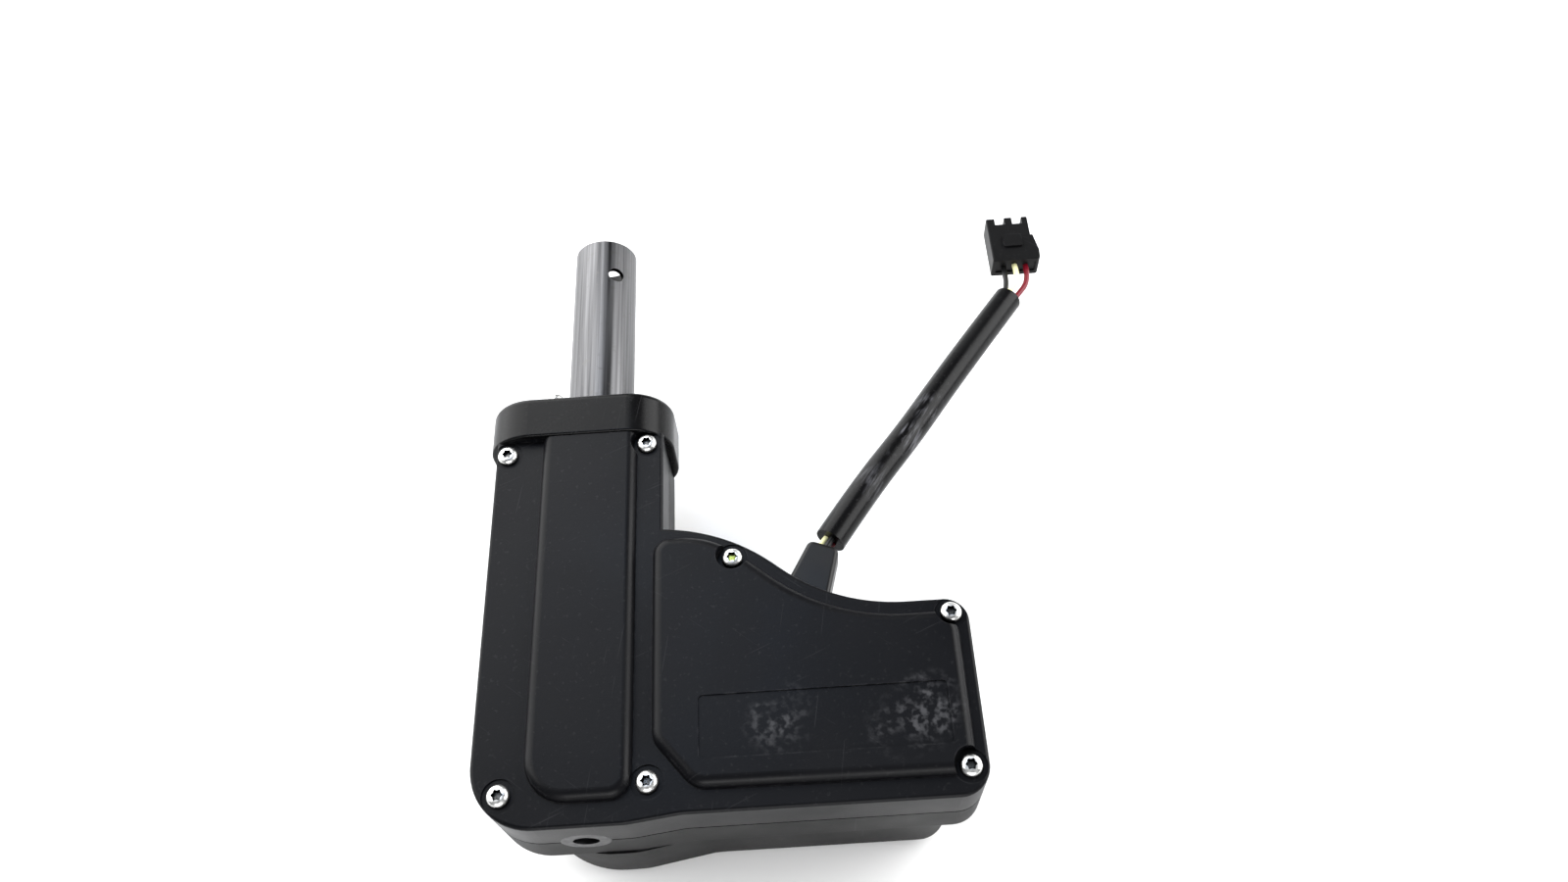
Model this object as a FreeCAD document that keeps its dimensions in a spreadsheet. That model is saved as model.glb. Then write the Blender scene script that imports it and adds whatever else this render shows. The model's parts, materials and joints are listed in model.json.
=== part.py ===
import FreeCAD, Part
import math
import os

# A furniture linear actuator: a chromed push tube driven by a lead screw, a worm
# wheel and a motor lying square to the tube, inside a two-shell L-shaped housing.
# Frame: the origin is on the screw axis at the housing's tail face, +Y runs out
# along the push tube, +X towards the motor end, +Z out of the front shell.
# Millimetres throughout.

DIMENSIONS = [
    ("flange_half", 18.0, "screw axis to the front and back flange faces"),
    ("parting_gap", 0.4, "screw axis to each shell's rim, either side of the gasket"),
    ("wall", 2.5, "shell wall"),
    ("bulge_rise", 3.6, "height of the raised panels above the front flange"),
    ("rear_depth", 46.0, "screw axis to the back of the motor hump"),
    ("column_left", -34.2, "left side of the column"),
    ("column_right", 26.3, "right side of the column"),
    ("foot_right", 127.4, "motor end of the foot"),
    ("foot_bottom", 2.0, "lower edge of the foot"),
    ("foot_top", 67.2, "upper edge of the foot at the motor end"),
    ("shoulder_top", 100.1, "upper edge of the foot where it leaves the column"),
    ("shell_top", 150.0, "tube end of the shells"),
    ("neck_half", 20.0, "screw axis to the faces of the neck inside the end cap"),
    ("cap_bottom", 138.5, "lower lip of the end cap"),
    ("cap_top", 155.4, "upper face of the end cap"),
    ("cap_half_depth", 22.4, "screw axis to the front and back of the end cap"),
    ("cap_left", -38.6, "left side of the end cap"),
    ("cap_right", 29.1, "right side of the end cap"),
    ("tube_radius", 12.5, "outside of the push tube"),
    ("tube_bore", 10.5, "inside of the push tube"),
    ("tube_tip", 237.5, "open end of the push tube"),
    ("tube_foot", 89.5, "inner end of the push tube"),
    ("tube_pin_radius", 3.25, "cross hole near the tip of the tube"),
    ("tube_pin_inset", 17.0, "cross hole from the tip of the tube"),
    ("nut_length", 22.0, "drive nut inside the tube"),
    ("nut_flange_radius", 14.2, "drive nut flange"),
    ("nut_flange_length", 6.0, "drive nut flange"),
    ("thread_crest", 6.0, "lead screw thread, outer radius"),
    ("thread_root", 4.8, "lead screw thread, root radius"),
    ("thread_pitch", 3.0, "lead screw ridge to ridge, two starts"),
    ("thread_start", 45.0, "first thread of the lead screw"),
    ("thread_turns", 31.0, "number of thread ridges"),
    ("fit_gap", 0.05, "radial clearance of running fits"),
    ("bearing_start", 14.0, "tail side of the ball bearing"),
    ("bearing_width", 7.0, "ball bearing"),
    ("bearing_outer", 11.0, "ball bearing outside radius"),
    ("bearing_inner", 4.0, "ball bearing bore radius"),
    ("guide_start", 124.0, "lower end of the tube guide bush"),
    ("guide_length", 22.0, "tube guide bush"),
    ("guide_radius", 15.2, "tube guide bush outside radius"),
    ("motor_y", 32.0, "motor axis above the tail face"),
    ("motor_z", -17.0, "motor axis behind the screw axis"),
    ("motor_radius", 24.0, "motor can"),
    ("motor_front", 45.0, "front face of the motor can"),
    ("motor_length", 60.0, "motor can"),
    ("can_wall", 1.8, "motor can sheet"),
    ("shaft_radius", 2.5, "motor shaft"),
    ("wheel_teeth", 24.0, "worm wheel teeth"),
    ("gear_module", 1.0, "worm gear module"),
    ("wheel_width", 12.0, "worm wheel face"),
    ("screw_shank", 1.9, "cover screw shank radius"),
    ("screw_head", 3.6, "cover screw head radius"),
    ("tail_bore", 4.25, "tapped hole in the tail bush"),
    ("tail_bush_radius", 8.0, "tail bush"),
    ("tail_bush_length", 10.4, "tail bush, inwards from the tail face"),
    ("screw_seat", 0.6, "cover screw seats below the front flange"),
    ("seat_radius", 5.4, "scooped seat around a cover screw head"),
    ("post_radius", 4.0, "posts inside the shells that the cover screws pass through"),
    ("ball_radius", 1.55, "bearing balls"),
    ("ball_circle", 7.5, "bearing ball centres from the screw axis"),
    ("nut_pin_radius", 1.5, "pins that hold the drive nut in the tube"),
    ("nut_pin_place", 10.0, "nut pins from the inner end of the tube"),
    ("lock_nut_start", 12.3, "tail side of the lock nut on the screw"),
    ("screw_end", 138.6, "end of the lead screw's thread"),
    ("tip_guide_length", 4.0, "guide at the tip of the lead screw"),
    ("tip_radius", 3.0, "lead screw tip, behind the guide and its nut"),
    ("rib_width", 6.0, "motor ribs and saddles, along the motor"),
    ("mount_ring_radius", 26.05, "outside of the motor's rubber rings"),
    ("sleeve_radius", 5.7, "cable sleeve"),
    ("wire_radius", 1.15, "single wire"),
]

# Cover screws, as places on the front flange.
COVER_SCREWS = [(-29.9, 133.1), (20.4, 134.6), (50.0, 86.5), (121.5, 61.8),
                (121.4, 11.2), (21.6, 12.4), (-24.4, 10.8)]
# The cover screw whose rear post stands inside the motor hump.
HUMP_POST = COVER_SCREWS[5]
# End cap screws, as X and Z on the cap's upper face.
CAP_SCREWS = [(-14.0, 17.2), (14.0, -17.2)]
# Where the motor's ribs and saddles start along X.
MOTOR_RIBS = (50, 94)
# The cable sleeve's route from the grommet to the wires' free ends.
SLEEVE_ROUTE = [(84.4, 100.0, 0.0), (99.5, 122.0, -1.6), (117.5, 145.2, -4.6),
                (133.5, 168.2, -7.6), (151.0, 192.0, -10.0), (166.6, 212.8, -12.0)]

doc = FreeCAD.newDocument("linear_actuator")
sheet = doc.addObject("Spreadsheet::Sheet", "dims")
for row, (alias, value, note) in enumerate(DIMENSIONS, 1):
    sheet.set(f"A{row}", alias)
    sheet.set(f"B{row}", str(value))
    sheet.setAlias(f"B{row}", alias)
    sheet.set(f"C{row}", note)
doc.recompute()

Vector = FreeCAD.Vector
UP = Vector(0, 0, 1)
AXES = {"X": Vector(1, 0, 0), "Y": Vector(0, 1, 0), "Z": UP}
nodes = []


def dim(alias):
    """A driving dimension, in millimetres."""
    return float(sheet.get(alias))


def finished(obj, label):
    """Names a finished sub-part, which is written under that name."""
    obj.Label = label
    nodes.append(obj)
    return obj


# ---------------------------------------------------------------- primitives

def place(obj, axis, at):
    """Points a primitive's own Z along an axis and binds its place to formulas."""
    obj.Placement = FreeCAD.Placement(Vector(), FreeCAD.Rotation(UP, AXES[axis]))
    for letter, formula in zip("xyz", at):
        obj.setExpression("Placement.Base." + letter, str(formula))
    return obj


def cylinder(radius, length, axis="Y", at=(0, 0, 0)):
    obj = doc.addObject("Part::Cylinder", "cylinder")
    obj.setExpression("Radius", str(radius))
    obj.setExpression("Height", str(length))
    return place(obj, axis, at)


def cone(radius_1, radius_2, length, axis="Y", at=(0, 0, 0)):
    obj = doc.addObject("Part::Cone", "cone")
    obj.setExpression("Radius1", str(radius_1))
    obj.setExpression("Radius2", str(radius_2))
    obj.setExpression("Height", str(length))
    return place(obj, axis, at)


def box(x_size, y_size, z_size, at):
    """A box by its three sizes and its lowest corner."""
    obj = doc.addObject("Part::Box", "box")
    obj.setExpression("Length", str(x_size))
    obj.setExpression("Width", str(y_size))
    obj.setExpression("Height", str(z_size))
    return place(obj, "Z", at)


def fused(*parts):
    obj = doc.addObject("Part::MultiFuse", "fusion")
    obj.Shapes = list(parts)
    obj.Refine = True
    return obj


def minus(base, *tools):
    obj = doc.addObject("Part::Cut", "cut")
    obj.Base = base
    obj.Tool = tools[0] if len(tools) == 1 else fused(*tools)
    return obj


def group(label, parts):
    """Identical loose pieces under one name, each still its own solid."""
    obj = doc.addObject("Part::Compound", "group")
    obj.Links = parts
    return finished(obj, label)


def ring(label, outer, inner, length, axis="Y", at=(0, 0, 0)):
    return finished(minus(cylinder(outer, length, axis, at),
                          cylinder(inner, length, axis, at)), label)


# ------------------------------------------------------- sketches and features

def rounded(corners):
    """A closed outline through (x, y, radius) corners, as lines and tangent arcs."""
    turns = []
    for index, (x, y, radius) in enumerate(corners):
        here = Vector(x, y, 0)
        if not radius:
            turns.append((here, None, here))
            continue
        back = Vector(*corners[index - 1][:2], 0) - here
        onward = Vector(*corners[(index + 1) % len(corners)][:2], 0) - here
        half = back.getAngle(onward) / 2
        back.normalize()
        onward.normalize()
        reach = radius / math.tan(half)
        inward = (back + onward).normalize()
        middle = here + inward * (radius / math.sin(half) - radius)
        turns.append((here + back * reach, middle, here + onward * reach))
    edges = []
    for index, (start, middle, end) in enumerate(turns):
        if middle:
            edges.append(Part.Arc(start, middle, end))
        following = turns[(index + 1) % len(turns)][0]
        if (following - end).Length > 1e-5:
            edges.append(Part.LineSegment(end, following))
    return edges


def circle(x, y, radius):
    return Part.Circle(Vector(x, y, 0), UP, radius)


def rectangle(x_low, y_low, x_high, y_high, radius=0):
    return rounded([(x_low, y_low, radius), (x_high, y_low, radius),
                    (x_high, y_high, radius), (x_low, y_high, radius)])


def new_body():
    return doc.addObject("PartDesign::Body", "body")


def sketch(body, role, level, edges):
    """A sketch on one of the body's origin planes, lifted to a level along its normal."""
    obj = body.newObject("Sketcher::SketchObject", "sketch")
    plane = [item for item in body.Origin.OriginFeatures if item.Role == role][0]
    obj.AttachmentSupport = [(plane, "")]
    obj.MapMode = "FlatFace"
    obj.setExpression("AttachmentOffset.Base.z", str(level))
    obj.addGeometry(edges, False)
    return obj


def extrude(kind, body, role, level, length, edges, reverse):
    """A Pad or Pocket whose effect on the volume is checked."""
    before = body.Shape.Volume if body.Tip else 0
    profile = sketch(body, role, level, edges)
    feature = body.newObject("PartDesign::" + kind, kind.lower())
    feature.Profile = profile
    feature.setExpression("Length", str(length))
    feature.Reversed = reverse
    profile.Visibility = False
    doc.recompute()
    gained = body.Shape.Volume - before
    if (gained > 0) != (kind == "Pad") or abs(gained) < 1e-3:
        raise RuntimeError(f"{kind} at level {level} changed the volume by {gained:.3f}")
    return feature


def pad(body, role, level, length, edges, reverse=False):
    """Adds material along the plane's normal, or against it when reversed."""
    return extrude("Pad", body, role, level, length, edges, reverse)


def pocket(body, role, level, length, edges, reverse=False):
    """Removes material along the plane's normal, or against it when reversed."""
    return extrude("Pocket", body, role, level, length, edges, not reverse)


def soften(body, radius, chosen):
    """Rounds the edges that a test picks from the body as it stands."""
    base = body.Tip
    names = [f"Edge{number}" for number, edge in enumerate(base.Shape.Edges, 1)
             if chosen(edge.BoundBox)]
    feature = body.newObject("PartDesign::Fillet", "fillet")
    feature.Base = (base, names)
    feature.setExpression("Radius", str(radius))
    doc.recompute()
    return feature


def flat_at(level):
    """A test for edges that lie in the plane at this height."""
    return lambda b: abs(b.ZMin - level) < 1e-4 and abs(b.ZMax - level) < 1e-4


# --------------------------------------------------------- housing outlines

SHOULDER_X = 20.3       # where the foot's upper edge starts to fall
HOLLOW_X = 108.0        # where it runs level again
SHOULDER_RADIUS = 66.0


def shoulder_corners(inset):
    """The two corners of the foot's S-shaped upper edge, motor end first."""
    drop = dim("shoulder_top") - dim("foot_top")
    half_tangent = drop / (HOLLOW_X - SHOULDER_X)
    turn = 2 * math.atan(half_tangent)
    both_radii = (HOLLOW_X - SHOULDER_X) / math.sin(turn)
    hollow = both_radii - SHOULDER_RADIUS - 4 + inset
    shoulder = SHOULDER_RADIUS - inset
    return [(HOLLOW_X - hollow * half_tangent, dim("foot_top") - inset, hollow),
            (SHOULDER_X + shoulder * half_tangent, dim("shoulder_top") - inset, shoulder)]


def column_outline(inset, top):
    left = dim("column_left") + inset
    right = dim("column_right") - inset
    return rounded([(left, inset, 21 - inset), (12, inset, 0), (right, 14, 0),
                    (right, top, 0), (left, top, 0)])


def foot_outline(inset):
    right = dim("foot_right") - inset
    bottom = dim("foot_bottom") + inset
    return rounded([(0, inset, 0), (15, inset, 25), (32, bottom, 25),
                    (right, bottom, 10 - inset), (right, dim("foot_top") - inset, 8 - inset),
                    *shoulder_corners(inset), (0, dim("shoulder_top") - inset, 0)])


def hump_outline(inset):
    """The deep part of the rear shell, over the motor and the worm."""
    hollow, shoulder = shoulder_corners(6 + inset)
    return rounded([(-25 + inset, -0.7 + inset, 31.5 - inset), (14, -0.7 + inset, 30),
                    (38, 3.3 + inset, 30), (118 - inset, 3.3 + inset, 10 - inset),
                    (118 - inset, hollow[1], 8 - inset), hollow, shoulder,
                    (-25 + inset, shoulder[1], 14 - inset)])


def plateau_outline():
    """The raised panel over the motor on the front shell."""
    hollow, shoulder = shoulder_corners(5)
    return rounded([(23, 25, 8), (36, 9.2, 8), (123.4, 8.4, 8), (123.4, hollow[1], 8),
                    hollow, (*shoulder[:2], 30), (23, shoulder[1], 6)])


def spine_outline(inset, bottom, top):
    """The raised panel along the screw."""
    return rounded([(-17 + inset, bottom + inset, 14 - inset), (17 - inset, bottom + inset, 7 - inset),
                    (17 - inset, top, 0), (-17 + inset, top, 0)])


def neck_outline(bottom, top):
    """Section of the neck under the end cap, in X and Z, for one shell."""
    left, right = dim("column_left"), dim("column_right")
    return rounded([(left, bottom, 0), (right, bottom, 0), (right, top, 10), (left, top, 10)])


# --------------------------------------------------------------- the shells

GROMMET_BASE = (74.3, 77.5)     # where the grommet leaves the foot, on the parting plane
GROMMET_ANGLE = 68.0            # its lean from +X
GROMMET_LENGTH = 20.5


def grommet_edges(low, high, low_half, high_half, corner=0):
    """An outline across the grommet's own axis, from one reach along it to another."""
    lean = math.radians(GROMMET_ANGLE)
    along = Vector(math.cos(lean), math.sin(lean), 0)
    across = Vector(-along.y, along.x, 0)
    corners = []
    for reach, side, radius in ((low, -low_half, 0), (high, -high_half, corner),
                                (high, high_half, corner), (low, low_half, 0)):
        point = Vector(*GROMMET_BASE, 0) + along * reach + across * side
        corners.append((point.x, point.y, radius))
    return rounded(corners)


def shared_shell_work(body, sign):
    """Seats and openings that both shells have; sign is +1 for the front shell."""
    toward = sign < 0
    gap = f"{sign} * dims.parting_gap"
    height = "dims.flange_half - dims.parting_gap - dims.screw_seat"
    # Screw posts and the bearing seat stand up to the parting plane.
    for x, y in COVER_SCREWS[2:]:
        pad(body, "XY_Plane", gap, height, [circle(x, y, dim("post_radius"))], toward)
    pad(body, "XY_Plane", gap, height, rectangle(-16, 11.5, 16, 23.5), toward)
    start, length = dim("bearing_start"), dim("bearing_width")
    pocket(body, "XZ_Plane", -start, length, [circle(0, 0, dim("bearing_outer") + 0.03)], True)
    pocket(body, "XZ_Plane", "-5", 20, [circle(0, 0, 7.5)], True)
    # Tail bush seat in the bottom wall.
    pad(body, "XY_Plane", gap, height, rectangle(-12, 1.0, 12, 11.5), toward)
    pocket(body, "XZ_Plane", "1", 11.5, [circle(0, 0, dim("tail_bush_radius") + 0.05)], True)
    # Guide bush seat, open to the tube end.
    pocket(body, "XZ_Plane", "-dims.guide_start", 27, [circle(0, 0, dim("guide_radius") + 0.05)], True)
    x, z = CAP_SCREWS[0] if sign > 0 else CAP_SCREWS[1]
    pocket(body, "XZ_Plane", "-dims.shell_top", 9, [circle(x, z, 1.55)])
    # The tapered slot that the cable grommet's neck fills, across the foot's upper wall.
    pocket(body, "XY_Plane", "-4.1", 8.2, grommet_edges(-7, 9, 6.1, 6.1))


def ring_room():
    """The round room that the motor's rubber rings sit in."""
    return [circle(dim("motor_y"), dim("motor_z"), dim("mount_ring_radius") + 0.05)]


def front_shell():
    body = new_body()
    gap = "dims.parting_gap"
    height = "dims.flange_half - dims.parting_gap"
    top = dim("flange_half") + dim("bulge_rise")
    pad(body, "XY_Plane", gap, height, column_outline(0, dim("cap_bottom") + 0.4))
    pad(body, "XY_Plane", gap, height, foot_outline(0))
    soften(body, 1.2, lambda b: flat_at(dim("flange_half"))(b) and b.YMin < dim("cap_bottom") - 2)
    pad(body, "XZ_Plane", "-dims.cap_bottom - 0.2", "dims.shell_top - dims.cap_bottom - 0.2",
        neck_outline(dim("parting_gap"), dim("neck_half")), True)
    pad(body, "XY_Plane", "dims.flange_half - 1", "dims.bulge_rise + 1",
        spine_outline(0, 7.5, dim("cap_bottom") - 0.2))
    pad(body, "XY_Plane", "dims.flange_half - 1", "dims.bulge_rise + 1", plateau_outline())
    soften(body, 3.4, lambda b: flat_at(top)(b) and b.YMin < dim("cap_bottom") - 2)
    # Label recess.
    pocket(body, "XY_Plane", "dims.flange_half + dims.bulge_rise - 0.5", 2,
           rectangle(38, 17.6, 117, 37.8, 1.5))
    # Scooped seats for the screw heads.
    for x, y in COVER_SCREWS:
        pocket(body, "XY_Plane", "dims.flange_half - dims.screw_seat", 6, [circle(x, y, dim("seat_radius"))])
    # Inside, up to the flange and then up into both raised panels.
    depth = "dims.flange_half - dims.parting_gap - dims.wall"
    wall = dim("wall")
    pocket(body, "XY_Plane", gap, depth, column_outline(wall, 126))
    pocket(body, "XY_Plane", gap, depth, foot_outline(wall))
    rise = "dims.flange_half + dims.bulge_rise - dims.parting_gap - dims.wall"
    pocket(body, "XY_Plane", gap, rise, spine_outline(wall + 1, 12, 124))
    pocket(body, "XY_Plane", gap, rise, rectangle(32, 17, 114, 54, 5))
    shared_shell_work(body, 1)
    # Ribs that press the motor down into the rear shell.
    for x in MOTOR_RIBS:
        pad(body, "XY_Plane", "8", 12, rectangle(x, 20, x + dim("rib_width"), 44))
    pocket(body, "YZ_Plane", "49", 52, ring_room())
    for x, y in COVER_SCREWS:
        pocket(body, "XY_Plane", "0", 30, [circle(x, y, dim("screw_shank") + 0.15)])
    return finished(body, "front_shell")


def rear_shell():
    body = new_body()
    gap = "-dims.parting_gap"
    height = "dims.flange_half - dims.parting_gap"
    wall = dim("wall")
    pad(body, "XY_Plane", gap, height, column_outline(0, dim("cap_bottom") + 0.4), True)
    pad(body, "XY_Plane", gap, height, foot_outline(0), True)
    soften(body, 1.2, lambda b: flat_at(-dim("flange_half"))(b) and b.YMin < dim("cap_bottom") - 2)
    pad(body, "XZ_Plane", "-dims.cap_bottom - 0.2", "dims.shell_top - dims.cap_bottom - 0.2",
        neck_outline(-dim("parting_gap"), -dim("neck_half")), True)
    pad(body, "XY_Plane", "-dims.flange_half + 1", "dims.bulge_rise + 1",
        spine_outline(0, 60, dim("cap_bottom") - 0.2), True)
    back = -dim("flange_half") - dim("bulge_rise")
    soften(body, 3.4, lambda b: flat_at(back)(b) and b.YMin < dim("cap_bottom") - 2)
    pad(body, "XY_Plane", "-dims.flange_half + 1", "dims.rear_depth - dims.flange_half + 1",
        hump_outline(0), True)
    soften(body, 5.0, flat_at(-dim("rear_depth")))
    depth = "dims.flange_half - dims.parting_gap - dims.wall"
    pocket(body, "XY_Plane", gap, depth, column_outline(wall, 126), True)
    pocket(body, "XY_Plane", gap, depth, foot_outline(wall), True)
    pocket(body, "XY_Plane", gap, "dims.rear_depth - dims.parting_gap - dims.wall", hump_outline(wall), True)
    shared_shell_work(body, -1)
    # Saddles that carry the motor's rubber rings.
    for x in MOTOR_RIBS:
        pad(body, "XY_Plane", "dims.motor_z", "dims.rear_depth + dims.motor_z - 2",
            rectangle(x, 5, x + dim("rib_width"), 59), True)
    # The post that stands inside the hump reaches down to the hump's own floor.
    pad(body, "XY_Plane", "-dims.flange_half + 1", "dims.rear_depth - dims.flange_half - 1",
        [circle(*HUMP_POST, dim("post_radius"))], True)
    # Seat for the bush at the worm's free end.
    pad(body, "XY_Plane", "dims.motor_z + 6", "dims.rear_depth + dims.motor_z + 4",
        rectangle(-22.8, 25, -14, 39), True)
    pocket(body, "YZ_Plane", "49", 52, ring_room())
    pocket(body, "YZ_Plane", "-20", 8, [circle(dim("motor_y"), dim("motor_z"), 5.05)])
    for x, y in COVER_SCREWS:
        pocket(body, "XY_Plane", "0", 14, [circle(x, y, dim("screw_shank") + 0.05)], True)
    return finished(body, "rear_shell")


def end_cap():
    body = new_body()
    outline = rectangle(dim("cap_left"), -dim("cap_half_depth"), dim("cap_right"), dim("cap_half_depth"), 16)
    pad(body, "XZ_Plane", "-dims.cap_bottom", "dims.cap_top - dims.cap_bottom", outline, True)
    soften(body, 2.5, lambda b: abs(b.YMin - dim("cap_top")) < 1e-4)
    soften(body, 0.8, lambda b: abs(b.YMax - dim("cap_bottom")) < 1e-4)
    room = rectangle(dim("column_left") - 0.2, -dim("neck_half") - 0.2,
                     dim("column_right") + 0.2, dim("neck_half") + 0.2, 9)
    pocket(body, "XZ_Plane", "-dims.cap_bottom", "dims.shell_top - dims.cap_bottom + 0.2", room, True)
    pocket(body, "XZ_Plane", "-dims.cap_bottom", 30, [circle(0, 0, dim("tube_radius") + 0.5)], True)
    pocket(body, "XZ_Plane", "-152", 10, [circle(0, 0, 15.6)], True)
    for x, z in CAP_SCREWS:
        pocket(body, "XZ_Plane", "-dims.cap_bottom", 30, [circle(x, z, 1.65)], True)
    return finished(body, "end_cap")


def shell_gasket():
    """The bead between the shells' rims, cut away at the tail bush and the grommet."""
    body = new_body()
    level = "-dims.parting_gap"
    depth = "2 * dims.parting_gap"
    pad(body, "XY_Plane", level, depth, column_outline(0.9, 137.5))
    pad(body, "XY_Plane", level, depth, foot_outline(0.9))
    pocket(body, "XY_Plane", "-1", 2, column_outline(2.2, 140))
    pocket(body, "XY_Plane", "-1", 2, foot_outline(2.2))
    pocket(body, "XY_Plane", "-1", 2, rectangle(-8.4, -2, 8.4, 4))
    pocket(body, "XY_Plane", "-1", 2, grommet_edges(-7, 9, 6.3, 6.3))
    return finished(body, "shell_gasket")


# ---------------------------------------------------------------- fasteners

def lobed(points, outer, inner, corner):
    """A star-shaped socket outline with rounded lobes."""
    corners = []
    for step in range(2 * points):
        radius = inner if step % 2 else outer
        angle = math.pi * step / points
        corners.append((radius * math.cos(angle), radius * math.sin(angle), corner))
    return rounded(corners)


def turned_body(outline):
    """A body turned about its own Y axis from an outline of (radius, height) corners."""
    body = new_body()
    profile = sketch(body, "XY_Plane", 0, rounded(outline))
    feature = body.newObject("PartDesign::Revolution", "revolution")
    feature.Profile = profile
    feature.ReferenceAxis = (profile, ["V_Axis"])
    feature.Angle = 360
    profile.Visibility = False
    doc.recompute()
    return body


def socket_screw(head, shank, length, rise, axis, at):
    """A domed screw with a six-lobe socket; its head stands on the point given."""
    body = turned_body([(0, -length, 0), (shank - 0.6, -length, 0), (shank, 0.8 - length, 0), (shank, 0, 0),
                        (head, 0, 0), (head, rise - 0.2, rise * 0.7), (0, rise, 0)])
    pocket(body, "XZ_Plane", -rise, rise * 0.62, lobed(6, head * 0.56, head * 0.4, 0.22))
    body.Placement = FreeCAD.Placement(Vector(), FreeCAD.Rotation(AXES["Y"], AXES[axis]))
    for letter, formula in zip("xyz", at):
        body.setExpression("Placement.Base." + letter, str(formula))
    return body


def fasteners():
    seat = "dims.flange_half - dims.screw_seat"
    group("cover_screws", [socket_screw(dim("screw_head"), dim("screw_shank"), 28.4, 2.6, "Z", (x, y, seat))
                           for x, y in COVER_SCREWS])
    group("cap_screws", [socket_screw(3.3, 1.5, 12, 3.2, "Y", (x, "dims.cap_top", z))
                         for x, z in CAP_SCREWS])


# ------------------------------------------------ screw, nut, tube and bearing

def tail_and_guides():
    ring("tail_bush", "dims.tail_bush_radius", "dims.tail_bore", "dims.tail_bush_length")
    ring("guide_bush", "dims.guide_radius", "dims.tube_radius + dims.fit_gap", "dims.guide_length",
         at=(0, "dims.guide_start", 0))
    lip = cone(14.8, 13.3, 1.5, at=(0, 155.2, 0))
    seal = minus(fused(cylinder(15.55, 3.2, at=(0, 152, 0)), lip),
                 cylinder("dims.tube_radius + dims.fit_gap", 8, at=(0, 150, 0)))
    finished(seal, "wiper_seal")


def bearing():
    start = (0, "dims.bearing_start", 0)
    ring("bearing_outer_ring", "dims.bearing_outer", 9.1, "dims.bearing_width", at=start)
    ring("bearing_inner_ring", 5.9, "dims.bearing_inner", "dims.bearing_width", at=start)
    balls = []
    for step in range(8):
        ball = doc.addObject("Part::Sphere", "ball")
        ball.setExpression("Radius", "dims.ball_radius")
        angle = math.radians(45 * step)
        place(ball, "Z", (f"dims.ball_circle * {math.cos(angle):.6f}",
                          "dims.bearing_start + dims.bearing_width / 2",
                          f"dims.ball_circle * {math.sin(angle):.6f}"))
        balls.append(ball)
    group("bearing_balls", balls)


def lead_screw():
    journal, seat = dim("bearing_inner"), 5.0
    root, crest, pitch = dim("thread_root"), dim("thread_crest"), dim("thread_pitch")
    shoulder = dim("bearing_start") + dim("bearing_width")
    nut_start, end, tip = dim("lock_nut_start"), dim("screw_end"), dim("tip_radius")
    outline = [(0, nut_start - 0.5, 0), (journal - 0.5, nut_start - 0.5, 0), (journal, nut_start, 0),
               (journal, shoulder, 0),
               (seat, shoulder, 0), (seat, 41, 0), (6.9, 41, 0), (6.9, 43, 0), (root, 43, 0)]
    for turn in range(int(dim("thread_turns"))):
        foot = dim("thread_start") + turn * pitch
        outline += [(root, foot, 0), (crest, foot + 0.5, 0), (crest, foot + 1.5, 0), (root, foot + 2, 0)]
    outline += [(root, end, 0), (tip, end, 0), (tip, end + 6.4, 0), (0, end + 6.4, 0)]
    finished(turned_body(outline), "lead_screw")
    ring("screw_lock_nut", 6.4, "dims.bearing_inner", "dims.bearing_start - dims.lock_nut_start",
         at=(0, "dims.lock_nut_start", 0))
    ring("wheel_spacer", 6.5, 5, 3, at=(0, shoulder, 0))
    ring("screw_tip_guide", "dims.tube_bore - 0.2", "dims.tip_radius", "dims.tip_guide_length",
         at=(0, "dims.screw_end", 0))
    ring("screw_tip_nut", 5, "dims.tip_radius", 2.2, at=(0, "dims.screw_end + dims.tip_guide_length", 0))


def worm_wheel():
    """A straight-toothed wheel with a tooth gap at rest facing the worm."""
    count = int(dim("wheel_teeth"))
    pitch_radius = count * dim("gear_module") / 2
    root, tip = pitch_radius - 1.35, pitch_radius + 0.8
    step = 2 * math.pi / count
    corners = []
    for tooth in range(count):
        centre = -math.pi / 2 + (tooth + 0.5) * step
        for radius, half in ((root, 0.95), (tip, 0.4), (tip, -0.4), (root, -0.95)):
            angle = centre - half / radius
            corners.append((radius * math.cos(angle), radius * math.sin(angle), 0))
    body = new_body()
    pad(body, "XZ_Plane", "-dims.motor_y - dims.wheel_width / 2", "dims.wheel_width", rounded(corners))
    pad(body, "XZ_Plane", "-41", 17, [circle(0, 0, 8)])
    pocket(body, "XZ_Plane", "-41", 17, [circle(0, 0, 5)])
    finished(body, "worm_wheel")


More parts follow.
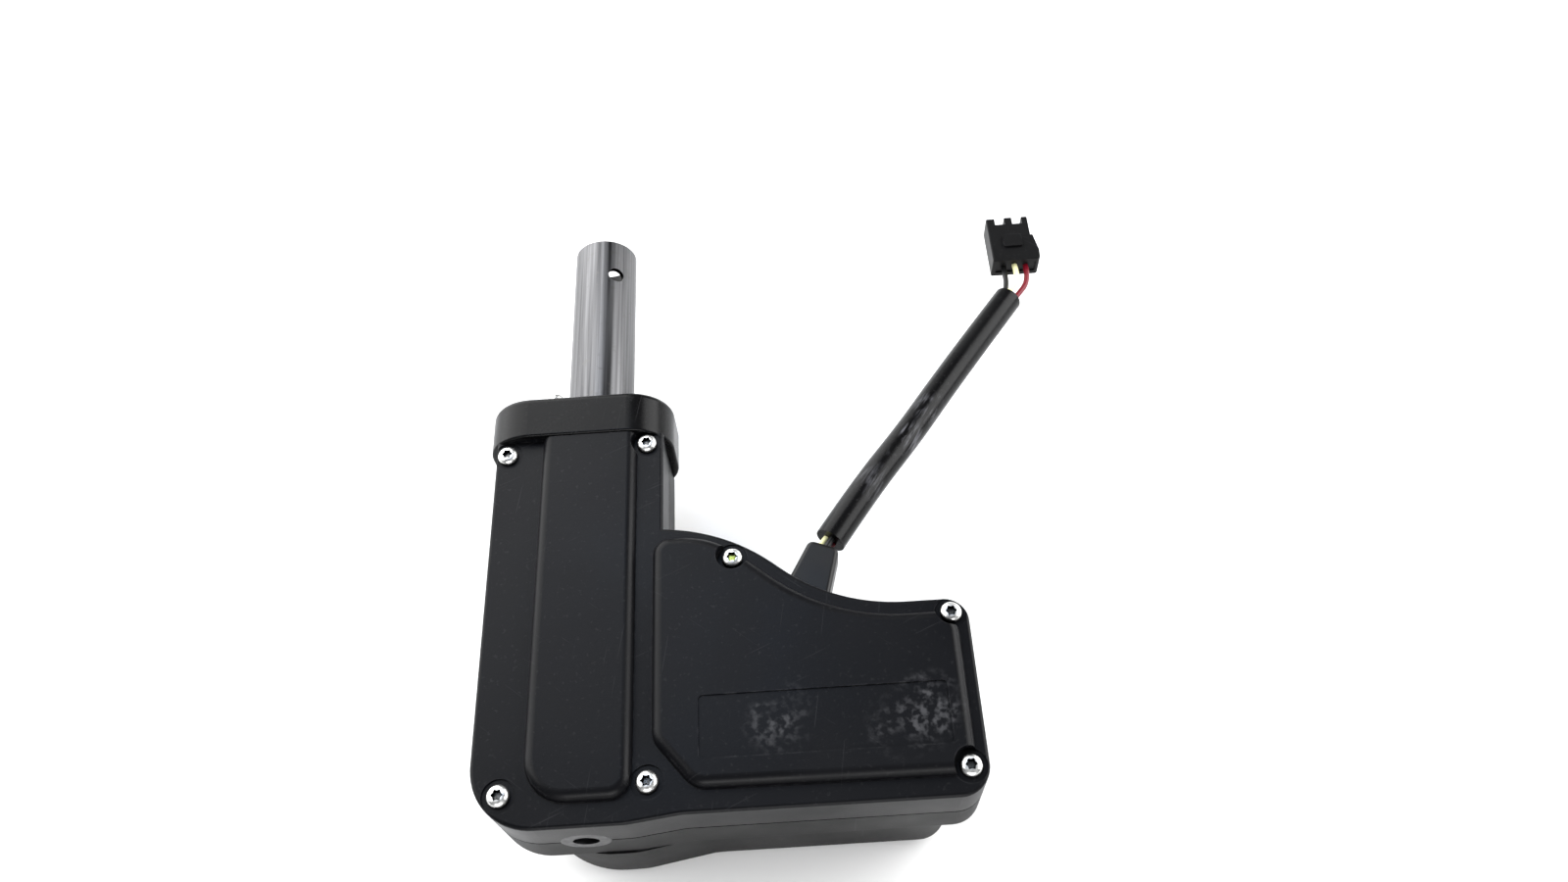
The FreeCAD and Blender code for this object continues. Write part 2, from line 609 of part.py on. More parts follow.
def push_tube():
    pin = doc.addObject("Part::Cylinder", "cross_hole")
    pin.setExpression("Radius", "dims.tube_pin_radius")
    pin.Height = 30
    lean = FreeCAD.Rotation(AXES["Y"], 30)
    foot = lean.multVec(Vector(0, 0, -15))
    pin.Placement = FreeCAD.Placement(foot, lean)
    pin.setExpression("Placement.Base.y", "dims.tube_tip - dims.tube_pin_inset")
    length = "dims.tube_tip - dims.tube_foot"
    start = (0, "dims.tube_foot", 0)
    pin_y = "dims.tube_foot + dims.nut_pin_place"
    nut_hole = cylinder("dims.nut_pin_radius", 30, "X", (-15, pin_y, 0))
    tube = minus(cylinder("dims.tube_radius", length, at=start),
                 cylinder("dims.tube_bore", length, at=start), pin, nut_hole)
    finished(tube, "push_tube")
    flange = cylinder("dims.nut_flange_radius", "dims.nut_flange_length",
                      at=(0, "dims.tube_foot - dims.nut_flange_length", 0))
    finger = box(9, "dims.nut_flange_length", 6, (-21.2, "dims.tube_foot - dims.nut_flange_length", -3))
    barrel = cylinder("dims.tube_bore", "dims.nut_length", at=start)
    thread = cylinder("dims.thread_crest + dims.fit_gap", 60, at=(0, 70, 0))
    holes = cylinder("dims.nut_pin_radius", 30, "X", (-15, pin_y, 0))
    finished(minus(fused(flange, finger, barrel), thread, holes), "drive_nut")
    group("nut_pins", [cylinder("dims.nut_pin_radius", 4.2, "X", (x, pin_y, 0)) for x in (8.1, -12.3)])


# ---------------------------------------------------------------- the motor

def on_shaft(radius, length, start):
    """A cylinder on the motor's axis from a given X."""
    return cylinder(radius, length, "X", (start, "dims.motor_y", "dims.motor_z"))


def shaft_ring(label, outer, inner, length, start):
    return ring(label, outer, inner, length, "X", (start, "dims.motor_y", "dims.motor_z"))


def motor():
    running = "dims.shaft_radius + dims.fit_gap"
    front = "dims.motor_front"
    back = dim("motor_front") + dim("motor_length")
    can = minus(fused(on_shaft("dims.motor_radius", "dims.motor_length", front), on_shaft(8, 5, 40)),
                on_shaft("dims.motor_radius - dims.can_wall", 80, "dims.motor_front + dims.can_wall"),
                on_shaft(5.5, 20, 39))
    finished(can, "motor_can")
    cover = minus(fused(on_shaft("dims.motor_radius", 3, back), on_shaft(8, 5, back + 2.5),
                        on_shaft("dims.motor_radius - dims.can_wall", 4, back - 4)),
                  on_shaft(20, 4, back - 4), on_shaft(5.5, 20, back - 5))
    finished(cover, "motor_end_cap")
    shaft_ring("motor_front_bush", 5.5, running, 6, 40.5)
    shaft_ring("motor_rear_bush", 5.5, running, 6, back + 1)
    group("motor_mount_rings", [minus(on_shaft("dims.mount_ring_radius", "dims.rib_width - 0.4", x + 0.2),
                                      on_shaft("dims.motor_radius", "dims.rib_width - 0.4", x + 0.2))
                                for x in MOTOR_RIBS])
    magnets = minus(on_shaft("dims.motor_radius - dims.can_wall", 36, 52), on_shaft(17.4, 36, 52),
                    box(40, 16, 60, (50, "dims.motor_y - 8", "dims.motor_z - 30")))
    finished(magnets, "motor_magnets")
    finished(on_shaft("dims.shaft_radius", 128, -19.5), "motor_shaft")
    slots, coils = [], []
    for step in range(10):
        angle = math.radians(36 * step)
        y = f"dims.motor_y + {11.6 * math.cos(angle):.4f}"
        z = f"dims.motor_z + {11.6 * math.sin(angle):.4f}"
        slots.append(cylinder(2.7, 32, "X", (54, y, z)))
        coils.append(cylinder(2.6, 40, "X", (50, y, z)))
    finished(minus(on_shaft(16.6, 32, 54), *slots, on_shaft("dims.shaft_radius", 40, 50)), "armature_core")
    ends = [minus(on_shaft(15.2, 3.9, x), on_shaft(7, 3.9, x)) for x in (49.9, 86.2)]
    finished(fused(*coils, *ends), "armature_windings")
    shaft_ring("commutator", 7, "dims.shaft_radius", 8, 91.2)
    shaft_ring("brush_plate", "dims.motor_radius - dims.can_wall - 0.1", 8.6, 1.5, 99.5)
    holders, brushes = [], []
    for y in ("dims.motor_y + 8.4", "dims.motor_y - 17.4"):
        shell = box(7.5, 9, 7, (92, y, "dims.motor_z - 3.5"))
        holders.append(minus(shell, box(4.2, 20, 4.2, (93.4, y + " - 5", "dims.motor_z - 2.1"))))
    for y in ("dims.motor_y + 7.1", "dims.motor_y - 14.1"):
        brushes.append(box(4, 7, 4, (93.5, y, "dims.motor_z - 2")))
    group("brush_holders", holders)
    group("carbon_brushes", brushes)
    shaft_ring("worm_end_bush", 5, running, 5.8, -20)


def worm():
    """A single-start right-hand worm whose crest stands in the wheel's gap at rest."""
    pitch = math.pi * dim("gear_module")
    turns = 5
    root, tip = 3.85, 5.75
    path = Part.makeHelix(pitch, turns * pitch, root)
    path.translate(Vector(0, 0, -turns * pitch / 2))
    start = -turns * pitch / 2
    foot = [(root - 0.15, start - 1.0), (tip, start - 0.36), (tip, start + 0.36), (root - 0.15, start + 1.0)]
    corners = [Vector(radius, 0, height) for radius, height in foot]
    profile = Part.makePolygon(corners + corners[:1])
    thread = Part.Wire(path).makePipeShell([profile], True, True)
    core = Part.makeCylinder(root, 20, Vector(0, 0, -10))
    bore = Part.makeCylinder(dim("shaft_radius"), 22, Vector(0, 0, -11))
    obj = doc.addObject("Part::Feature", "worm")
    obj.Shape = core.fuse(thread).cut(bore)
    place(obj, "X", (0, "dims.motor_y", "dims.motor_z"))
    finished(obj, "worm")


# ------------------------------------------------------ switches and cabling

def switches():
    finished(box(1.6, 88, 14, (-31.3, 36, -7)), "switch_board")
    bodies = []
    for y in (42.1, 102.1):
        case = box(6.5, 12.8, 6, (-29.7, y, -3))
        bodies.append(fused(case, cylinder(1, 1.3, "X", (-23.3, y + 6.4, 0))))
    group("limit_switches", bodies)


def cable_grommet():
    body = new_body()
    pad(body, "XY_Plane", "-4", 8, grommet_edges(-5, 3, 6.0, 6.0))
    pad(body, "XY_Plane", "-5.2", 10.4, grommet_edges(1.9, GROMMET_LENGTH, 8.0, 5.6, 2.5))
    soften(body, 1.6, lambda b: b.ZLength < 1e-4 and abs(abs(b.ZMin) - 5.2) < 1e-4 and b.YMax > 86)
    finished(body, "cable_grommet")


def tube_along(route, radius):
    """A round cord: straight runs joined by arcs as large as the runs allow."""
    points = [Vector(*point) for point in route]
    edges = []
    radii = []
    here = points[0]
    for before, corner, after in zip(points, points[1:], points[2:]):
        back = before - corner
        onward = after - corner
        shorter = min(back.Length, onward.Length)
        turn = math.pi - back.getAngle(onward)
        reach = 0.45 * shorter
        radii.append(reach / math.tan(turn / 2))
        back.normalize()
        onward.normalize()
        inward = (back + onward).normalize()
        middle = corner + inward * (radii[-1] / math.cos(turn / 2) - radii[-1])
        start, end = corner + back * reach, corner + onward * reach
        edges += [Part.makeLine(here, start), Part.Arc(start, middle, end).toShape()]
        here = end
    edges.append(Part.makeLine(here, points[-1]))
    path = Part.Wire(edges)
    disc = Part.Wire(Part.makeCircle(radius, points[0], points[1] - points[0]))
    solid = path.makePipeShell([disc], True, False)
    expected = math.pi * radius ** 2 * path.Length
    print(f"cord length {path.Length:.1f} mm, smallest radius {min(radii, default=0):.1f} mm, "
          f"volume {solid.Volume / expected:.4f} of section times length")
    return solid


def cord(label, routes, radius):
    obj = doc.addObject("Part::Feature", "cord")
    solids = [tube_along(route, radius) for route in routes]
    obj.Shape = solids[0] if len(solids) == 1 else Part.makeCompound(solids)
    obj.Placement = FreeCAD.Placement()
    finished(obj, label)


def cable():
    cord("cable_sleeve", [SLEEVE_ROUTE], dim("sleeve_radius"))
    wire = dim("wire_radius")
    cord("wire_cream", [[(79.6, 96.4, 0.6), (83.8, 101.8, 0.3)],
                        [(165.4, 212.6, -11.2), (168.8, 217.6, -11.5), (172.0, 222.6, -12.0),
                         (172.6, 228.0, -13.0), (172.4, 232.4, -13.4)]], wire)
    cord("wire_black", [[(81.6, 94.8, 1.8), (85.5, 100.6, 1.8)],
                        [(163.9, 213.6, -13.4), (166.6, 218.0, -13.8), (167.8, 223.0, -14.2),
                         (168.0, 227.6, -14.4), (168.0, 232.4, -14.4)]], wire)
    cord("wire_red", [[(82.6, 96.4, -1.6), (86.9, 101.2, -1.6)],
                      [(167.6, 210.9, -13.0), (171.6, 215.8, -13.4), (175.6, 220.8, -13.8),
                       (177.2, 226.4, -14.0), (177.3, 232.4, -14.0)]], wire)


def connector():
    body = new_body()
    outline = rounded([(163.0, 231, 0.8), (183.0, 231, 1.5), (183.3, 236, 1), (181.8, 244.6, 0.4),
                       (180.7, 244.6, 0), (180.7, 254.5, 0.5), (163.0, 254.5, 0.5)])
    pad(body, "XY_Plane", "-19", 10, outline)
    contact_slots = (166.6, 174.0)
    for x in contact_slots:
        pocket(body, "XY_Plane", "-20", 12, rectangle(x, 250.9, x + 4.2, 258))
    soften(body, 0.5, lambda b: flat_at(-9)(b) and b.YMax < 250)
    pad(body, "XY_Plane", "-9.2", 1.2, rectangle(168.5, 238.0, 176.5, 244.5, 0.8))
    pocket(body, "XY_Plane", "-9.1", 3, [circle(172.5, 247.5, 0.7)])
    pocket(body, "XY_Plane", "-17", 6, rectangle(164.6, 230, 181.4, 231.6))
    finished(body, "connector_housing")
    group("connector_contacts", [box(3.2, 3.0, 1.0, (x + 0.5, 249.8, -14.5)) for x in contact_slots])


# ------------------------------------------------------------ build and write

front_shell()
rear_shell()
end_cap()
shell_gasket()
fasteners()
tail_and_guides()
bearing()
lead_screw()
worm_wheel()
push_tube()
motor()
worm()
switches()
cable_grommet()
cable()
connector()
doc.recompute()

for obj in doc.Objects:
    if {"Invalid", "Error"} & set(obj.State):
        raise RuntimeError(f"{obj.Name} ({obj.Label}) failed: {obj.State}")
os.makedirs("parts", exist_ok=True)
for node in nodes:
    shape = node.Shape
    if shape.isNull() or not shape.isValid() or not shape.Solids:
        raise RuntimeError(f"{node.Label} has no valid solid")
for node in nodes:
    node.Shape.exportStep(f"parts/{node.Label}.step")
print("more than one solid:", {node.Label: len(node.Shape.Solids) for node in nodes
                               if len(node.Shape.Solids) > 1})
print(len(nodes), "sub-parts written")
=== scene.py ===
import json
import math

import bpy
from mathutils import Matrix, Vector


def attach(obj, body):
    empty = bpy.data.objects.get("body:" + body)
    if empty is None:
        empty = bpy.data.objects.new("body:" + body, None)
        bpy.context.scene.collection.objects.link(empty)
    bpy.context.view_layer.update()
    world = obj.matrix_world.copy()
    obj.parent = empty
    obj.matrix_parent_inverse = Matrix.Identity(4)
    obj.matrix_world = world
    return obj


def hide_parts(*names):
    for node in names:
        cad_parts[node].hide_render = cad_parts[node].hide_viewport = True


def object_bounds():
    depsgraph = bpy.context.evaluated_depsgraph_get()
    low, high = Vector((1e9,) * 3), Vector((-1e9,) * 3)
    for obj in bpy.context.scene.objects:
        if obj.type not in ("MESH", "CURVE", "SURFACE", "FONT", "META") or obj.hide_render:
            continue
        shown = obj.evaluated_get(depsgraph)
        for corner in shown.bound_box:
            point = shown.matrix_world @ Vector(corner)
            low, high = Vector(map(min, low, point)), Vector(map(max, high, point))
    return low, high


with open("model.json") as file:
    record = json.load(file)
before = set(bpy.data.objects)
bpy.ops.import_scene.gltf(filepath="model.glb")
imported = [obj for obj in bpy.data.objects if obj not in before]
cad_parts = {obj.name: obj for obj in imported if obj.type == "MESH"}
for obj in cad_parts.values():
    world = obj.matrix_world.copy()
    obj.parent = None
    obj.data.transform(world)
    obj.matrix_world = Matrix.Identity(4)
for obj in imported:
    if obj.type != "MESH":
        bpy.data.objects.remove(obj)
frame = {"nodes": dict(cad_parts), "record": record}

# A black L-shaped linear actuator with a chromed push tube, lying on a white table.
# Metres, in the CAD frame: +Y along the tube, +X to the motor end, +Z out of the front.

MM = 0.001
CAD_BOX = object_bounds()
FLOOR_LEVEL = CAD_BOX[0].z

# ------------------------------------------------------------------- camera

CAMERA_PLACE = Vector((0.0737, -0.0894, 0.380))
CAMERA_RIGHT = Vector((0.99783, -0.05132, -0.04136))
CAMERA_UP = Vector((0.06536, 0.85149, 0.52028))
CAMERA_BACK = Vector((0.00852, -0.52185, 0.85299))
CAMERA_LENS = 27.0          # millimetres
SENSOR_WIDTH = 36.0         # millimetres


def make_camera():
    data = bpy.data.cameras.new("camera")
    data.lens = CAMERA_LENS
    data.sensor_width = SENSOR_WIDTH
    camera = bpy.data.objects.new("camera", data)
    bpy.context.collection.objects.link(camera)
    turn = Matrix((CAMERA_RIGHT, CAMERA_UP, CAMERA_BACK)).transposed()
    camera.matrix_world = Matrix.Translation(CAMERA_PLACE) @ turn.to_4x4()
    bpy.context.scene.camera = camera


# ------------------------------------------------------------ cable sleeve

SLEEVE_ROUTE = [(84.4, 100.0, 0.0), (99.5, 122.0, -1.6), (117.5, 145.2, -4.6),
                (133.5, 168.2, -7.6), (151.0, 192.0, -10.0), (166.6, 212.8, -12.0)]
SLEEVE_DIAMETER = 0.0114


def make_sleeve():
    curve = bpy.data.curves.new("sleeve", "CURVE")
    curve.dimensions = "3D"
    curve.bevel_depth = 1.0     # the points' own radius sets the thickness
    curve.bevel_resolution = 10
    curve.resolution_u = 24
    curve.use_fill_caps = True
    spline = curve.splines.new("NURBS")
    spline.points.add(len(SLEEVE_ROUTE) - 1)
    for point, place in zip(spline.points, SLEEVE_ROUTE):
        point.co = (*(Vector(place) * MM), 1)
        point.radius = SLEEVE_DIAMETER / 2
    spline.order_u = 3
    spline.use_endpoint_u = True
    sleeve = bpy.data.objects.new("sleeve", curve)
    bpy.context.collection.objects.link(sleeve)
    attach(sleeve, "housing")
    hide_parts("cable_sleeve")
    return sleeve


make_camera()
SLEEVE = make_sleeve()

# ---------------------------------------------------------- shader building

# The mix node's own numbers for its colour sockets.
MIX_FACTOR, MIX_FIRST, MIX_SECOND, MIX_RESULT = 0, 6, 7, 2
# Cosines of the turn at which an edge starts to count, and counts in full.
EDGE_TURN = (0.99, 0.86)
# Share of a spot's radius that is at full strength.
SPOT_CORE = 0.45
# Hairlines: direction in degrees and density of each set, their stretch, and where the
# noise is cut to leave thin lines.
HAIRLINES = ((24, 34.0), (-38, 47.0), (81, 29.0))
HAIRLINE_STRETCH = (1.2, 46.0, 1.0)
HAIRLINE_CUT = (0.755, 0.775)


class Shader:
    """A material under construction: short calls for the nodes that the finishes share."""

    def __init__(self, name):
        self.material = bpy.data.materials.new(name)
        self.material.use_nodes = True
        self.tree = self.material.node_tree
        self.surface = self.tree.nodes["Principled BSDF"]
        self.place = self.node("ShaderNodeTexCoord").outputs["Object"]

    def node(self, kind, **values):
        made = self.tree.nodes.new(kind)
        for key, value in values.items():
            setattr(made, key, value)
        return made

    def feed(self, socket, value):
        """Links a socket, or sets a constant on it, giving a bare colour its alpha."""
        if isinstance(value, bpy.types.NodeSocket):
            self.tree.links.new(value, socket)
        elif isinstance(value, (tuple, list)) and len(value) < len(socket.default_value):
            socket.default_value = (*value, 1)
        else:
            socket.default_value = value

    def calc(self, operation, first, second):
        """Two values combined, held within 0..1."""
        made = self.node("ShaderNodeMath", operation=operation, use_clamp=True)
        self.feed(made.inputs[0], first)
        self.feed(made.inputs[1], second)
        return made.outputs[0]

    def between(self, value, low, high, to_low=0.0, to_high=1.0):
        """Maps low..high onto to_low..to_high, held at both ends."""
        made = self.node("ShaderNodeMapRange")
        for index, item in enumerate((value, low, high, to_low, to_high)):
            self.feed(made.inputs[index], item)
        return made.outputs[0]

    def mix(self, amount, first, second):
        made = self.node("ShaderNodeMix", data_type="RGBA")
        self.feed(made.inputs[MIX_FACTOR], amount)
        self.feed(made.inputs[MIX_FIRST], first)
        self.feed(made.inputs[MIX_SECOND], second)
        return made.outputs[MIX_RESULT]

    def noise(self, scale, detail, stretch=None, turn=0.0):
        place = self.place
        if stretch:
            mapping = self.node("ShaderNodeMapping", vector_type="TEXTURE")
            self.feed(mapping.inputs["Vector"], place)
            mapping.inputs["Rotation"].default_value = (0, 0, math.radians(turn))
            mapping.inputs["Scale"].default_value = tuple(1 / item for item in stretch)
            place = mapping.outputs[0]
        made = self.node("ShaderNodeTexNoise")
        self.feed(made.inputs["Vector"], place)
        made.inputs["Scale"].default_value = scale
        made.inputs["Detail"].default_value = detail
        return made.outputs[0]

    def edges(self, radius):
        """How sharply the surface turns here, from the bevel node."""
        bevel = self.node("ShaderNodeBevel", samples=4)
        bevel.inputs["Radius"].default_value = radius
        dot = self.node("ShaderNodeVectorMath", operation="DOT_PRODUCT")
        self.feed(dot.inputs[0], bevel.outputs[0])
        self.feed(dot.inputs[1], self.node("ShaderNodeNewGeometry").outputs["Normal"])
        return self.between(dot.outputs["Value"], *EDGE_TURN)

    def hollows(self, distance):
        """1 in the open, falling towards 0 in corners and sockets."""
        made = self.node("ShaderNodeAmbientOcclusion", samples=6)
        made.inputs["Distance"].default_value = distance
        return made.outputs["AO"]

    def spot(self, centre, radius):
        """1 near a point in the frame, in millimetres, fading to 0 at the radius."""
        made = self.node("ShaderNodeVectorMath", operation="DISTANCE")
        self.feed(made.inputs[0], self.place)
        made.inputs[1].default_value = Vector(centre) * MM
        return self.between(made.outputs["Value"], radius * MM, radius * MM * SPOT_CORE)

    def scratches(self):
        """Sparse hairlines in three directions."""
        total = 0.0
        for turn, scale in HAIRLINES:
            line = self.between(self.noise(scale, 1.0, HAIRLINE_STRETCH, turn), *HAIRLINE_CUT)
            total = self.calc("MAXIMUM", total, line)
        return total

    def bump(self, height, strength, distance):
        made = self.node("ShaderNodeBump")
        made.inputs["Strength"].default_value = strength
        made.inputs["Distance"].default_value = distance
        self.feed(made.inputs["Height"], height)
        self.feed(self.surface.inputs["Normal"], made.outputs[0])

    def finish(self, color, roughness, metallic=0.0, **sockets):
        self.feed(self.surface.inputs["Base Color"], color)
        self.feed(self.surface.inputs["Roughness"], roughness)
        self.surface.inputs["Metallic"].default_value = metallic
        for key, value in sockets.items():
            self.surface.inputs[key.replace("_", " ")].default_value = value
        return self.material


# ----------------------------------------------------------------- finishes

EDGE_WEAR = (0.035, 0.035, 0.037)
HAIRLINE_COLOR = (0.06, 0.06, 0.065)
DUST = (0.16, 0.16, 0.16)
# Near-black painted into the hollows of metal parts: painted shade.
HOLLOW_SHADE = (0.02, 0.02, 0.02)
# Near-black painted into the screws' sockets: painted shade.
SOCKET_SHADE = (0.006, 0.006, 0.006)
THREAD_PAINT = (0.33, 0.36, 0.07)
PAINTED_SOCKET = (50.0, 86.5, 18.6)     # millimetres
PAINT_REACH = 1.7                       # millimetres
# Radii, in metres, over which the tube's inside, painted near-black as shade, gives way to its
# plated skin.
TUBE_SKIN = (0.01225, 0.01242)


def moulded(name, base, rough, wear, grain=1500.0, worn_patches_and_highlight=(),
             patch_color=(0.045, 0.045, 0.048), patch_noise=(420.0, 6.0)):
    """Injection-moulded plastic: fine grain, cloudy gloss, scuffed edges and hairlines."""
    s = Shader(name)
    cloud = s.noise(22.0, 5.0)
    fine = s.noise(grain, 2.0)
    marks = s.scratches()
    worn = s.calc("MULTIPLY", s.edges(0.0007), s.between(s.noise(240.0, 4.0), 0.44, 0.62))
    dust = s.between(s.noise(700.0, 3.0), 0.62, 0.72)
    color = s.mix(cloud, base, tuple(c * 1.5 + 0.0004 for c in base))
    color = s.mix(s.calc("MULTIPLY", worn, wear), color, EDGE_WEAR)
    color = s.mix(s.calc("MULTIPLY", marks, wear * 0.3), color, HAIRLINE_COLOR)
    color = s.mix(s.calc("MULTIPLY", dust, wear * 0.08), color, DUST)
    ragged = s.calc("MULTIPLY", s.between(s.noise(95.0, 3.0), 0.42, 0.58),
                    s.between(s.noise(*patch_noise), 0.46, 0.64))
    # Lighter patches: worn residue in the label recess, and on the sleeve scuffs with a painted
    # highlight.
    for centre, radius, amount in worn_patches_and_highlight:
        patch = s.calc("MULTIPLY", s.spot(centre, radius), ragged)
        color = s.mix(s.calc("MULTIPLY", patch, amount), color, patch_color)
    shine = s.between(cloud, 0.3, 0.7, rough - 0.06, rough + 0.09)
    s.bump(s.calc("ADD", fine, s.calc("MULTIPLY", marks, 0.5)), 0.35, 0.00006)
    return s.finish(color, shine, Specular_IOR_Level=0.11)


def metal(name, base, rough, stretch=(40.0, 1.0, 40.0), hollow_shade=0.5):
    """Machined or drawn metal: directional streaks, and painted shade darkening the corners."""
    s = Shader(name)
    streak = s.noise(14.0, 4.0, stretch)
    # Painted shade: the colour darkens where ambient occlusion finds hollows.
    open_air = s.between(s.hollows(0.0012), 0.35, 0.95)
    color = s.mix(streak, tuple(c * 0.82 for c in base), base)
    color = s.mix(s.between(open_air, 0.0, 1.0, hollow_shade, 0.0), color, HOLLOW_SHADE)
    s.bump(streak, 0.12, 0.00002)
    return s.finish(color, s.between(streak, 0.3, 0.7, rough - 0.05, rough + 0.08), 1.0)


def screw_finish(name):
    """Bright zinc with painted shade darkening the sockets, one of them with a dab of thread
    paint.
    """
    s = Shader(name)
    cloud = s.noise(900.0, 4.0)
    open_air = s.between(s.hollows(0.0026), 0.58, 0.95)
    color = s.mix(cloud, (0.72, 0.72, 0.7), (0.92, 0.92, 0.9))
    # Painted shade: the sockets go near-black where ambient occlusion finds them.
    color = s.mix(open_air, SOCKET_SHADE, color)
    dab = s.calc("MULTIPLY", s.spot(PAINTED_SOCKET, PAINT_REACH), 0.85)
    color = s.mix(dab, color, THREAD_PAINT)
    s.bump(cloud, 0.15, 0.00003)
    return s.finish(color, s.between(cloud, 0.3, 0.7, 0.26, 0.42), 1.0)


def tube_finish(name):
    """Worn chrome: streaks along the tube, speckled wear, and the inside painted near-black as
    shade.
    """
    s = Shader(name)
    streak = s.noise(9.0, 4.0, (70.0, 0.9, 70.0))
    wear = s.between(s.noise(330.0, 5.0), 0.6, 0.7)
    across = s.node("ShaderNodeVectorMath", operation="MULTIPLY")
    s.feed(across.inputs[0], s.place)
    across.inputs[1].default_value = (1, 0, 1)
    reach = s.node("ShaderNodeVectorMath", operation="LENGTH")
    s.feed(reach.inputs[0], across.outputs[0])
    outside = s.between(reach.outputs["Value"], *TUBE_SKIN)
    color = s.mix(s.between(streak, 0.36, 0.64), (0.045, 0.045, 0.047), (0.15, 0.15, 0.154))
    color = s.mix(s.calc("MULTIPLY", wear, 0.5), color, (0.09, 0.088, 0.085))
    # Painted shade: all inside the skin radius goes near-black, so the open end and cross hole
    # read dark.
    color = s.mix(outside, (0.012, 0.012, 0.012), color)
    s.bump(streak, 0.15, 0.00003)
    return s.finish(color, s.between(streak, 0.3, 0.7, 0.3, 0.46), 1.0)


def soft(name, base, rough):
    """Rubber, vinyl or other smooth polymer, faintly uneven and dusty."""
    s = Shader(name)
    cloud = s.noise(60.0, 5.0)
    dust = s.between(s.noise(900.0, 3.0), 0.6, 0.74)
    color = s.mix(cloud, base, tuple(min(1.0, c * 1.25 + 0.003) for c in base))
    dusty = tuple(min(1.0, c * 2.0 + 0.003) for c in base)
    color = s.mix(s.calc("MULTIPLY", dust, 0.4), color, dusty)
    s.bump(s.noise(500.0, 3.0), 0.2, 0.00005)
    return s.finish(color, s.between(cloud, 0.3, 0.7, rough - 0.06, rough + 0.1),
                    Specular_IOR_Level=0.25)


LABEL_LEVEL = 21.1      # floor of the front label recess, in millimetres
# Worn patches left in the label recess: centre and reach in millimetres, and strength.
RESIDUE = [((110.0, 29.0, LABEL_LEVEL), 14.0, 0.9), ((101.0, 24.0, LABEL_LEVEL), 12.0, 0.6),
           ((63.0, 29.0, LABEL_LEVEL), 13.0, 0.7)]

# The light streak along the top of the cable sleeve, given the same way: scuffs with a painted
# highlight.
SCUFFS_AND_HIGHLIGHT = [((103.0, 121.0, 3.0), 9.0, 0.5), ((116.0, 139.0, 2.0), 11.0, 0.8),
          ((126.0, 155.0, 0.0), 9.0, 0.6)]

FINISHES = {
    "shell_plastic": lambda n: moulded(n, (0.0018, 0.0019, 0.0025), 0.38, 0.45, worn_patches_and_highlight=RESIDUE),
    "rear_plastic": lambda n: moulded(n, (0.002, 0.002, 0.0022), 0.46, 0.5),
    "cap_plastic": lambda n: moulded(n, (0.0018, 0.0018, 0.002), 0.28, 0.4, 900.0),
    "chrome_tube": tube_finish,
    "zinc_screw": screw_finish,
    "bright_steel": lambda n: metal(n, (0.6, 0.61, 0.63), 0.25),
    "black_oxide_steel": lambda n: metal(n, (0.05, 0.05, 0.053), 0.4, (30.0, 1.0, 30.0), 0.8),
    "motor_can_steel": lambda n: metal(n, (0.48, 0.49, 0.5), 0.35, (1.0, 30.0, 30.0)),
    "sintered_bronze": lambda n: metal(n, (0.6, 0.4, 0.2), 0.45, (8.0, 8.0, 8.0)),
    "copper": lambda n: metal(n, (0.72, 0.34, 0.17), 0.3),
    "black_rubber": lambda n: soft(n, (0.0018, 0.0018, 0.0018), 0.34),
    "natural_nylon": lambda n: moulded(n, (0.72, 0.69, 0.6), 0.45, 0.1),
    "guide_pom": lambda n: moulded(n, (0.76, 0.76, 0.72), 0.4, 0.1),
    "carbon": lambda n: soft(n, (0.03, 0.03, 0.033), 0.6),
    "ferrite": lambda n: soft(n, (0.07, 0.07, 0.074), 0.6),
    "board": lambda n: moulded(n, (0.02, 0.11, 0.04), 0.35, 0.1),
    # The sleeve's light patches are scuffs with a painted highlight along its top.
    "sleeve_black": lambda n: moulded(n, (0.002, 0.002, 0.0022), 0.25, 0.6, 400.0, SCUFFS_AND_HIGHLIGHT,
                                      patch_color=(0.11, 0.11, 0.12),
                                      patch_noise=(900.0, 5.0, (0.12, 1.0, 1.0), 56.0)),
    "wire_cream_pvc": lambda n: soft(n, (0.76, 0.74, 0.4), 0.35),
    "wire_red_pvc": lambda n: soft(n, (0.13, 0.002, 0.009), 0.33),
    "wire_black_pvc": lambda n: soft(n, (0.004, 0.004, 0.004), 0.33),
    "connector_nylon": lambda n: moulded(n, (0.0025, 0.0025, 0.0027), 0.42, 0.4, 1100.0),
    "tinned_metal": lambda n: metal(n, (0.7, 0.7, 0.69), 0.3),
}


def paint_everything():
    made = {slot: build(slot) for slot, build in FINISHES.items()}
    for row in frame["record"]["subparts"]:
        item = frame["nodes"][row["node"]]
        for material_slot in item.material_slots:
            material_slot.material = made[row["material_slot"]]
    SLEEVE.data.materials.append(made["sleeve_black"])


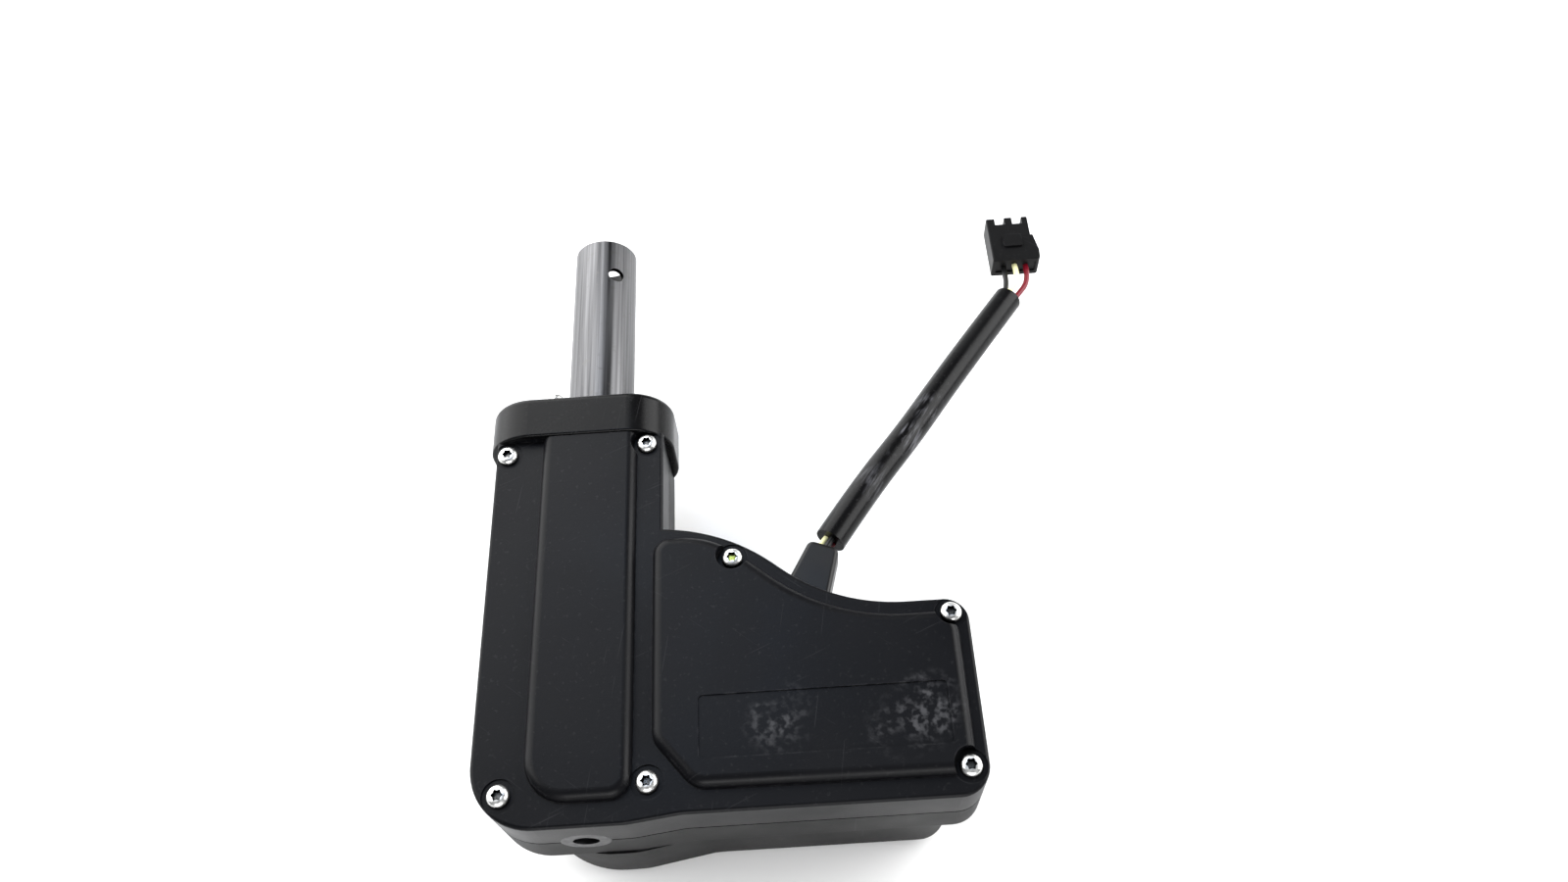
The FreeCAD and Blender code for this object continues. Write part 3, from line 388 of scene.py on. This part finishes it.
# --------------------------------------------------------- floor and lights

FLOOR_HALF = 2.5        # metres
AIM = (0.05, 0.11, 0.0)
# Softboxes: name, place, where it points, size in metres, watts and colour.
LIGHTS = [("key", (-1.0, 0.95, 0.8), AIM, (2.4, 2.0), 78, (1, 1, 1)),
          ("right", (1.25, 0.45, 0.65), AIM, (1.4, 1.0), 32, (1, 1, 1)),
          ("near", (0.1, -1.25, 0.6), AIM, (1.0, 0.5), 17, (1, 1, 1)),
          ("sheen", (-0.05, 0.42, 0.9), (-0.01, 0.03, 0.0), (0.2, 0.2), 1.3, (0.62, 0.76, 1.0))]
ROOM_COLOR = (0.93, 0.95, 1.0, 1)
ROOM_STRENGTH = 0.16


def make_floor():
    half = FLOOR_HALF
    mesh = bpy.data.meshes.new("floor")
    mesh.from_pydata([(-half, -half, FLOOR_LEVEL), (half, -half, FLOOR_LEVEL),
                      (half, half, FLOOR_LEVEL), (-half, half, FLOOR_LEVEL)], [], [(0, 1, 2, 3)])
    floor = bpy.data.objects.new("floor", mesh)
    bpy.context.collection.objects.link(floor)
    s = Shader("table")
    color = s.mix(s.noise(3.0, 2.0), (0.92, 0.92, 0.915), (0.95, 0.95, 0.945))
    mesh.materials.append(s.finish(color, 0.55))


def softbox(name, place, aim, size, power, color):
    data = bpy.data.lights.new(name, "AREA")
    data.shape = "RECTANGLE"
    data.size, data.size_y = size
    data.energy = power
    data.color = color
    light = bpy.data.objects.new(name, data)
    bpy.context.collection.objects.link(light)
    light.location = place
    light.rotation_mode = "QUATERNION"
    light.rotation_quaternion = (Vector(aim) - Vector(place)).to_track_quat("-Z", "Y")


def make_light():
    for light in LIGHTS:
        softbox(*light)
    world = bpy.data.worlds.new("room")
    world.use_nodes = True
    background = world.node_tree.nodes["Background"]
    background.inputs["Color"].default_value = ROOM_COLOR
    background.inputs["Strength"].default_value = ROOM_STRENGTH
    bpy.context.scene.world = world
    bpy.context.scene.view_settings.view_transform = "Standard"


paint_everything()
make_floor()
make_light()
